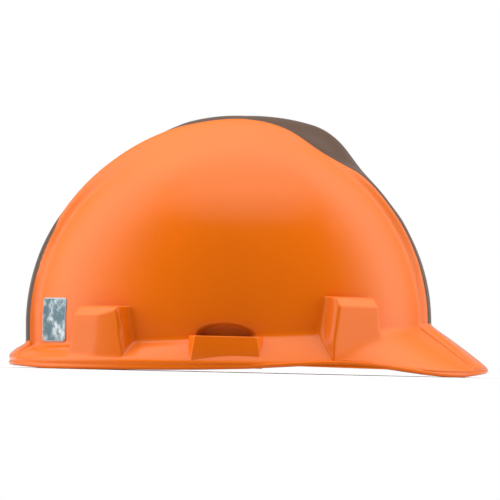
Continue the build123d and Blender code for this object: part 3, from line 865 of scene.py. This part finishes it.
    def add_inner(self, turn, points):
        """A ring of the inside, which follows the scoop and carries no paint."""
        points[:, 1] -= self.scoop(points) * 0.95
        self.add(points, 0 * turn + self.UNPAINTED)

    def faces(self):
        """Quads between rings, with the slots left open and lined, and a cap at each pole."""
        count = 2 * self.half_count
        rings = len(self.points)
        top_in, top_out = self.slot_rings()
        low_out, low_in = self.slot_rings_inside()
        first, last = int(self.knots[10]), int(self.knots[11])
        spans = [(first, last), (count - last, count - first)]

        def index(ring, column):
            return ring * count + column % count

        def in_span(column):
            return any(a <= column < b for a, b in spans)

        quads = []
        for ring in range(rings - 1):
            hole = top_in <= ring < top_out or low_out <= ring < low_in
            for column in range(count):
                if hole and in_span(column):
                    continue
                quads.append((index(ring, column), index(ring + 1, column),
                              index(ring + 1, column + 1), index(ring, column + 1)))
        for a, b in spans:
            for column in range(a, b):
                for outer, inner in ((top_in, low_in), (top_out, low_out)):
                    quads.append((index(outer, column), index(inner, column),
                                  index(inner, column + 1), index(outer, column + 1)))
            steps = top_out - top_in
            for column in (a, b):
                for step in range(steps):
                    quads.append((index(top_in + step, column), index(top_in + step + 1, column),
                                  index(low_in - step - 1, column), index(low_in - step, column)))
        for ring, flip in ((0, False), (rings - 1, True)):
            pole = rings * count + (1 if flip else 0)
            for column in range(count):
                fan = (pole, index(ring, column), index(ring, column + 1))
                quads.append(fan[::-1] if flip else fan)
        return quads

    def slot_rings(self):
        return self.fillet_end, self.fillet_end + 3

    def slot_rings_inside(self):
        return self.under_start, self.under_start + 3

    def build(self):
        self.outer_rings()
        # The lip has 4 rings and the slope 7, so the fillet's last ring is 12 back.
        self.fillet_end = len(self.points) - 12
        self.rim_rings()
        # Inside: 3 corner rings, then the slope; the slots take its three rings nearest the wall.
        self.under_start = len(self.points) + 5
        self.inner_rings()
        poles = [ring.mean(axis=0) for ring in (self.points[0], self.points[-1])]
        points = np.concatenate(self.points + [np.array(poles)])
        stripe = np.concatenate(self.stripe + [np.array([-self.UNPAINTED, self.UNPAINTED])])
        return points, stripe, self.faces()


def bracket_mesh(form):
    """The bar that stands off the side over the slot, with its two ends."""
    slot_x, half = ShellMesh.SLOT_X, ShellMesh.SLOT_HALF + 0.3
    end, root, corner, back, front = ShellMesh.BRACKET_HALF - 0.3, -4.5, 4.5, 6.5, 9.3
    surface = form.DOME_HALF
    bm = bmesh.new()
    rows = []
    for z, face in ((2.6, 20.9), (ShellMesh.BAR_TOP, 18.2)):
        outline = [(-end, root), (-end, corner), (-face, front), (face, front), (end, corner),
                   (end, root), (half, root), (half, back), (-half, back), (-half, root)]
        rows.append([bm.verts.new((slot_x + t, surface + depth, z)) for t, depth in outline])
    for a in range(len(outline)):
        b = (a + 1) % len(outline)
        bm.faces.new((rows[0][a], rows[0][b], rows[1][b], rows[1][a]))
    for row in rows:
        for quad in ((0, 1, 8, 9), (1, 2, 3, 4), (1, 4, 7, 8), (4, 5, 6, 7)):
            bm.faces.new([row[i] for i in quad])
    bmesh.ops.recalc_face_normals(bm, faces=bm.faces)
    sharp = [e for e in bm.edges
             if len(e.link_faces) == 2 and e.calc_face_angle(0) > radians(20)]
    bmesh.ops.bevel(bm, geom=sharp, offset=0.7, segments=3, profile=0.6, affect="EDGES")
    points = np.array([v.co[:] for v in bm.verts])
    bm.verts.index_update()
    faces = [[v.index for v in f.verts] for f in bm.faces]
    bm.free()
    return points, faces


# -------------------------------------------------------------------------- operators
class HELMET_OT_shell(bpy.types.Operator):
    """Build the moulded shell with its ridges, brim, pockets and side slots."""

    bl_idname = "helmet.shell"
    bl_label = "Shell"

    def execute(self, context):
        look = context.scene.helmet_shell
        form = ShellForm(look)
        points, stripe, faces = ShellMesh(form).build()
        for side in (1, -1):
            bar, bar_faces = bracket_mesh(form)
            bar[:, 1] *= side
            start = len(points)
            points = np.concatenate([points, bar])
            stripe = np.concatenate([stripe, np.full(len(bar), ShellMesh.UNPAINTED)])
            order = slice(None, None, side)
            faces += [tuple(i + start for i in face[order]) for face in bar_faces]
        shell = new_object("shell_moulding", points, faces, {"stripe_mm": stripe})
        drop_loose(shell)
        finish_piece(shell, "helmet", shell_plastic(look), "shell_orange", "shell")
        return {"FINISHED"}


class HELMET_OT_decal(bpy.types.Operator):
    """Build the reflective patch at the right rear."""

    bl_idname = "helmet.decal"
    bl_label = "Reflective decal"

    def execute(self, context):
        look = context.scene.helmet_shell
        form = ShellForm(look)
        low, high = cad_box_mm("reflective_decal")
        middle = (low + high) / 2
        turn_mid = -atan2(-middle[1] / form.DOME_HALF, (middle[0] - form.CENTRE_X) / form.DOME_REAR)
        half_w, half_h, corner = 13.0, (high[2] - low[2]) / 2, 2.4
        lower, further_back = 3.6, 2.4
        bend_radius, stand_off, steps = 113.0, 0.32, 28
        points, edge = [], []
        for row in range(steps + 1):
            for column in range(steps + 1):
                u = (column / steps * 2 - 1) * half_w
                v = (row / steps * 2 - 1) * half_h
                u, v, inside = rounded(u, v, half_w, half_h, corner)
                turn = turn_mid + (u - further_back) / bend_radius
                points.append(self.on_dome(form, turn, middle[2] - lower + v, stand_off))
                edge.append(inside)
        faces = []
        for row in range(steps):
            for column in range(steps):
                a = row * (steps + 1) + column
                faces.append((a, a + 1, a + steps + 2, a + steps + 1))
        decal = new_object("reflective_patch", points, faces, {"edge_mm": edge})
        thick = decal.modifiers.new("film", "SOLIDIFY")
        thick.thickness = 0.3 * MM
        thick.offset = -1.0
        finish_piece(decal, "helmet", prismatic_film(look), "decal_film", "reflective_decal")
        return {"FINISHED"}

    @staticmethod
    def on_dome(form, turn, z, off):
        """A point just off the dome at a height."""
        turn = np.array([turn])
        climb = form.climb_to(turn, z)
        point = form.dome(turn, climb)[0][0]
        point[2] = z
        return point + form.normals(turn, climb)[0] * off


def rounded(u, v, half_w, half_h, corner):
    """Pulls a point of a rectangle in to round corners; also its distance from the edge."""
    over_u = abs(u) - (half_w - corner)
    over_v = abs(v) - (half_h - corner)
    if over_u > 0 and over_v > 0:
        reach = max(over_u, over_v)
        spread = hypot(over_u, over_v)
        over_u, over_v = over_u / spread * reach, over_v / spread * reach
        u = (half_w - corner + over_u) * (1 if u > 0 else -1)
        v = (half_h - corner + over_v) * (1 if v > 0 else -1)
        return u, v, corner - reach
    return u, v, min(half_w - abs(u), half_h - abs(v))


class HELMET_OT_crown_straps(bpy.types.Operator):
    """Build the two crossing crown straps of woven webbing, with their stitching."""

    bl_idname = "helmet.crown_straps"
    bl_label = "Crown straps"

    WIDTH = 20.0
    HALF_WALL = 0.65
    UPRIGHT = 4.5

    def execute(self, context):
        look = context.scene.helmet_lining
        webbing = woven_webbing(look)
        sewing = thread((0.35, 0.36, 0.38))
        heading = suspension_heading()
        for name, sign in (("crown_strap_lower", 1), ("crown_strap_upper", -1)):
            low, high = cad_box_mm(name)
            strap = self.strap(name.replace("crown_strap", "webbing"), low, high, sign * heading,
                               look)
            finish_piece(strap, "helmet", webbing, "webbing", name)
            seam = self.stitches("stitches_" + name[12:], low, high, sign * heading, look)
            finish_piece(seam, "helmet", sewing, "webbing")
        return {"FINISHED"}

    def path(self, low, high, heading, part):
        """The middle of the strap: up out of one key, over and down into the other."""
        out = np.array([cos(heading), sin(heading), 0.0])
        centre = (low + high) / 2
        reach = (high[0] - low[0] - self.WIDTH * abs(out[1])) / 2 / abs(out[0]) - self.HALF_WALL
        foot, spring = low[2], low[2] + self.UPRIGHT
        rise = high[2] - spring - self.HALF_WALL
        straight = (spring - foot) / (pi / 2 * (reach + rise) / 2)
        across = (part * 2 - 1) * (1 + straight)
        if abs(across) > 1:
            over = (abs(across) - 1) / straight * (spring - foot)
            place = np.array([centre[0], centre[1], spring - over])
            return place + out * reach * (1 if across > 0 else -1), np.array([0, 0, 1.0])
        angle = pi / 2 * (1 - across)
        place = np.array([centre[0], centre[1], spring + rise * sin(angle)])
        tangent = out * sin(angle) * reach - np.array([0, 0, 1.0]) * rise * cos(angle)
        return place + out * reach * cos(angle), tangent / np.linalg.norm(tangent)

    def strap(self, name, low, high, heading, look):
        half_width, half_wall = self.WIDTH / 2, look.web_wall / MM / 2
        section = []
        for step in range(20):
            angle = 2 * pi * step / 20
            edge = np.sign(cos(angle)) * abs(cos(angle)) ** 0.25
            face = np.sign(sin(angle)) * abs(sin(angle)) ** 0.5
            section.append((half_width * edge, half_wall * face))
        rows, along, across = [], [], []
        steps = 150
        side = np.array([-sin(heading), cos(heading), 0.0])
        travelled, before = 0.0, None
        for row in range(steps + 1):
            place, tangent = self.path(low, high, heading, row / steps)
            if before is not None:
                travelled += float(np.linalg.norm(place - before))
            before = place
            up = np.cross(side, tangent)
            up = up / np.linalg.norm(up)
            for t, w in section:
                rows.append(place + side * t + up * w)
                along.append(travelled)
                across.append(t)
        count = len(section)
        faces = [(r * count + c, r * count + (c + 1) % count, (r + 1) * count + (c + 1) % count,
                  (r + 1) * count + c) for r in range(steps) for c in range(count)]
        faces.append(tuple(range(count)))
        faces.append(tuple(steps * count + c for c in reversed(range(count))))
        strap = new_object(name, rows, faces, {"along_mm": along, "across_mm": across})
        drop_loose(strap)
        return strap

    def stitches(self, name, low, high, heading, look):
        """Rows of short stitches near both ends, each a small raised bead of thread."""
        side = np.array([-sin(heading), cos(heading), 0.0])
        stitch = look.stitch / MM
        first, apart = 0.052, 0.0150
        points, faces = [], []
        for end in (0, 1):
            for line in (-7.0, -2.4, 2.4, 7.0):
                for step in range(7):
                    part = first + step * apart
                    part = part if end == 0 else 1 - part
                    place, tangent = self.path(low, high, heading, part)
                    up = np.cross(side, tangent)
                    up = up / np.linalg.norm(up)
                    for face in (1, -1):
                        centre = place + side * line + up * face * look.web_wall / MM / 2
                        bead(points, faces, centre, tangent * stitch * 0.38, side * 0.32,
                             up * 0.22)
        return new_object(name, points, faces)


def bead(points, faces, centre, long, wide, high):
    """A small ellipsoid of thread."""
    rings, around = 6, 8
    start = len(points)
    for ring in range(rings + 1):
        angle = pi * ring / rings
        for step in range(around):
            turn = 2 * pi * step / around
            points.append(centre + long * cos(angle)
                          + (wide * cos(turn) + high * sin(turn)) * sin(angle))
    for ring in range(rings):
        for step in range(around):
            a = start + ring * around + step
            b = start + ring * around + (step + 1) % around
            faces.append((a, b, b + around, a + around))


def pad_mesh(name, centre_x, inner, outer, span, z, crown, seams, backwards=False):
    """A foam pad on the inside of a round band: flat on the band, swelling to the head."""
    points, faces = [], []
    columns, ring = 120, 40
    z_mid, z_half = (z[0] + z[1]) / 2, (z[1] - z[0]) / 2
    middle, half = (inner + outer) / 2, (outer - inner) / 2
    for column in range(columns + 1):
        share = column / columns * 2 - 1
        end = max(0.0, (abs(share) - 0.955) / 0.045)
        round_end = (1 - end ** 2.2) ** 0.5 if end < 1 else 0.0
        angle = share * span + (pi if backwards else 0.0)
        for step in range(ring):
            turn = 2 * pi * step / ring
            up = np.sign(sin(turn)) * abs(sin(turn)) ** 0.35
            inwards = np.sign(cos(turn)) * abs(cos(turn)) ** 0.55
            swell = crown * max(0.0, -inwards) * (1 - up ** 2)
            for seam in seams:
                swell -= 0.75 * np.exp(-((up - seam) / 0.045) ** 2) * (inwards < 0)
            channel = abs(sin(share * span * 9.5)) ** 0.18
            swell *= 0.35 + 0.65 * channel
            radius = middle + half * inwards - swell
            radius = outer - (outer - radius) * (0.35 + 0.65 * round_end)
            height = z_mid + z_half * up * (0.55 + 0.45 * round_end)
            points.append((centre_x + radius * cos(angle), radius * sin(angle), height))
    for column in range(columns):
        for step in range(ring):
            a, b = column * ring + step, column * ring + (step + 1) % ring
            faces.append((a, b, b + ring, a + ring))
    faces.append(tuple(range(ring)))
    faces.append(tuple(columns * ring + step for step in reversed(range(ring))))
    pad = new_object(name, points, faces)
    drop_loose(pad)
    return pad


class HELMET_OT_pads(bpy.types.Operator):
    """Build the brow pad and the nape pad."""

    bl_idname = "helmet.pads"
    bl_label = "Pads"

    def execute(self, context):
        look = context.scene.helmet_lining
        cloth = pad_cloth(look)
        crown = look.pad_crown / MM
        low, high = cad_box_mm("brow_pad")
        outer, foam = 77.7, 3.0
        span = np.arcsin(high[1] / outer)
        centre_x = high[0] - outer
        pad = pad_mesh("brow_cushion", centre_x, outer - foam, outer, span, (low[2], high[2]),
                       crown, (-0.82, 0.82))
        finish_piece(pad, "headband", cloth, "pad_fabric", "brow_pad")
        low, high = cad_box_mm("nape_pad")
        outer, foam = 75.3, 2.8
        span = np.arcsin(high[1] / outer)
        centre_x = low[0] + outer
        pad = pad_mesh("nape_cushion", centre_x, outer - foam, outer, span,
                       (low[2], high[2]), crown * 0.6, (-0.8, 0.8), backwards=True)
        finish_piece(pad, "nape_yoke", cloth, "pad_fabric", "nape_pad")
        return {"FINISHED"}


class HELMET_OT_suspension(bpy.types.Operator):
    """Finish the headband, keys, arms and ratchet pieces."""

    bl_idname = "helmet.suspension"
    bl_label = "Suspension plastics"

    def execute(self, context):
        look = context.scene.helmet_lining
        nylon = moulded_nylon("black_nylon", tuple(look.nylon))
        band = moulded_nylon("band_plastic", tuple(look.band), gloss=0.38, grain=1100.0)
        acetal = moulded_nylon("white_acetal", (0.62, 0.62, 0.58), gloss=0.3, grain=1400.0)
        knob = moulded_nylon("knob_grip", tint(tuple(look.nylon), 2.2), gloss=0.6, grain=420.0)
        for corner in CORNER_NAMES:
            dress("suspension_key_" + corner, nylon, 0.5)
        for node in ("height_studs", "nape_arm_left", "nape_arm_right"):
            dress(node, nylon, 0.3)
        dress("ratchet_housing", nylon, 0.6)
        dress("ratchet_backplate", nylon, 0.5)
        dress("headband", band, 0.35)
        dress("pivot_rivets", band, 0.35)
        for node in ("nape_strap_left", "nape_strap_right"):
            dress(node, band, 0.12)
        for node in ("click_spring", "drive_pinion"):
            dress(node, acetal, 0.1)
        dress("ratchet_knob", knob, 0.5)
        dress("knob_screw", plated_steel(), 0.15)
        return {"FINISHED"}


class HELMET_OT_stage(bpy.types.Operator):
    """Set up the floor, the studio light and the camera."""

    bl_idname = "helmet.stage"
    bl_label = "Stage"

    def execute(self, context):
        look = context.scene.helmet_stage
        self.floor()
        self.world(context)
        self.camera(context, look)
        context.scene.view_settings.view_transform = "Standard"
        return {"FINISHED"}

    def floor(self):
        steps, level = 96, -0.02
        rings = (200.0, 400.0, 700.0, 1000.0)
        points, faces = [(0, 0, level)], []
        for ring in rings:
            for step in range(steps):
                angle = 2 * pi * step / steps
                points.append((ring * cos(angle), ring * sin(angle), level))
        for step in range(steps):
            faces.append((0, 1 + step, 1 + (step + 1) % steps))
        for ring in range(len(rings) - 1):
            for step in range(steps):
                a, b = 1 + ring * steps + step, 1 + ring * steps + (step + 1) % steps
                faces.append((a, a + steps, b + steps, b))
        floor = new_object("studio_floor", points, faces)
        s = Shader("pale_floor")
        cloud = s.noise(3.0, 2.0)
        away = s.node("ShaderNodeVectorMath", {"operation": "LENGTH"}, s.place(), output="Value")
        floor.data.materials.append(
            s.finish(s.mix(cloud, (0.56, 0.56, 0.56), (0.60, 0.60, 0.60)), 0.9,
                     Alpha=1 - away.step(0.35, 0.95)))

    def world(self, context):
        """White behind the helmet; for its light, wide soft boxes above and to both sides."""
        s = Shader("studio", world=True)
        towards = s.node("ShaderNodeTexCoord", output="Generated")
        x, y, z = (s.node("ShaderNodeSeparateXYZ", None, towards, output=i) for i in range(3))
        level = (x * x + y * y + 0.0001).power(0.5)
        facing = (0.07 * x - y) / level
        near = 1 - y.step(0.1, 0.75)
        sides = (1 - facing.step(-0.1, 0.74)) * z.step(-0.2, 0.0) * (near * 3.0 + 0.4)
        above = (z.step(0.72, 0.98) * 3.0 + z.step(0.73, 0.8) * 0.6) * (near * 0.85 + 0.15)
        light = 0.05 + above.most(sides)
        seen = s.node("ShaderNodeLightPath", output="Is Camera Ray")
        s.feed(s.surface.inputs["Color"], (1.0, 1.0, 1.0, 1.0))
        s.feed(s.surface.inputs["Strength"], light + seen * (1 - light))
        context.scene.world = s.material

    def camera(self, context, look):
        data = bpy.data.cameras.new("view")
        data.sensor_width = 36.0
        data.lens = 36.0 * look.distance / look.field
        data.clip_end = 100.0
        camera = bpy.data.objects.new("view", data)
        target = Vector((-0.7, 0.0, 73.1)) * MM
        away = Vector((0.0, -cos(look.elevation), sin(look.elevation)))
        camera.location = target + away * look.distance
        turned = (-away).to_track_quat("-Z", "Y").to_matrix()
        roll = Matrix.Rotation(look.roll, 3, "Z")
        camera.rotation_euler = (turned @ roll).to_euler()
        context.scene.collection.objects.link(camera)
        context.scene.camera = camera


OPERATORS = (HELMET_OT_stage, HELMET_OT_shell, HELMET_OT_decal, HELMET_OT_crown_straps,
             HELMET_OT_pads, HELMET_OT_suspension)
SETTINGS = (
    ("helmet_shell", HelmetShellSettings),
    ("helmet_lining", HelmetLiningSettings),
    ("helmet_stage", HelmetStageSettings),
)


class HELMET_PT_panel(bpy.types.Panel):
    """Lists the helmet's builders and their settings."""

    bl_label = "Safety helmet"
    bl_idname = "HELMET_PT_panel"
    bl_space_type = "VIEW_3D"
    bl_region_type = "UI"
    bl_category = "Helmet"

    def draw(self, context):
        for operator in OPERATORS:
            self.layout.operator(operator.bl_idname)
        for name, kind in SETTINGS:
            box = self.layout.box()
            for key in kind.__annotations__:
                box.prop(getattr(context.scene, name), key)


def register():
    for _, kind in SETTINGS:
        bpy.utils.register_class(kind)
    for name, kind in SETTINGS:
        setattr(bpy.types.Scene, name, PointerProperty(type=kind))
    for operator in OPERATORS:
        bpy.utils.register_class(operator)
    bpy.utils.register_class(HELMET_PT_panel)


def unregister():
    bpy.utils.unregister_class(HELMET_PT_panel)
    for operator in reversed(OPERATORS):
        bpy.utils.unregister_class(operator)
    for name, kind in SETTINGS:
        delattr(bpy.types.Scene, name)
        bpy.utils.unregister_class(kind)


def main():
    register()
    for operator in OPERATORS:
        area, name = operator.bl_idname.split(".")
        getattr(getattr(bpy.ops, area), name)()


if __name__ == "__main__":
    main()
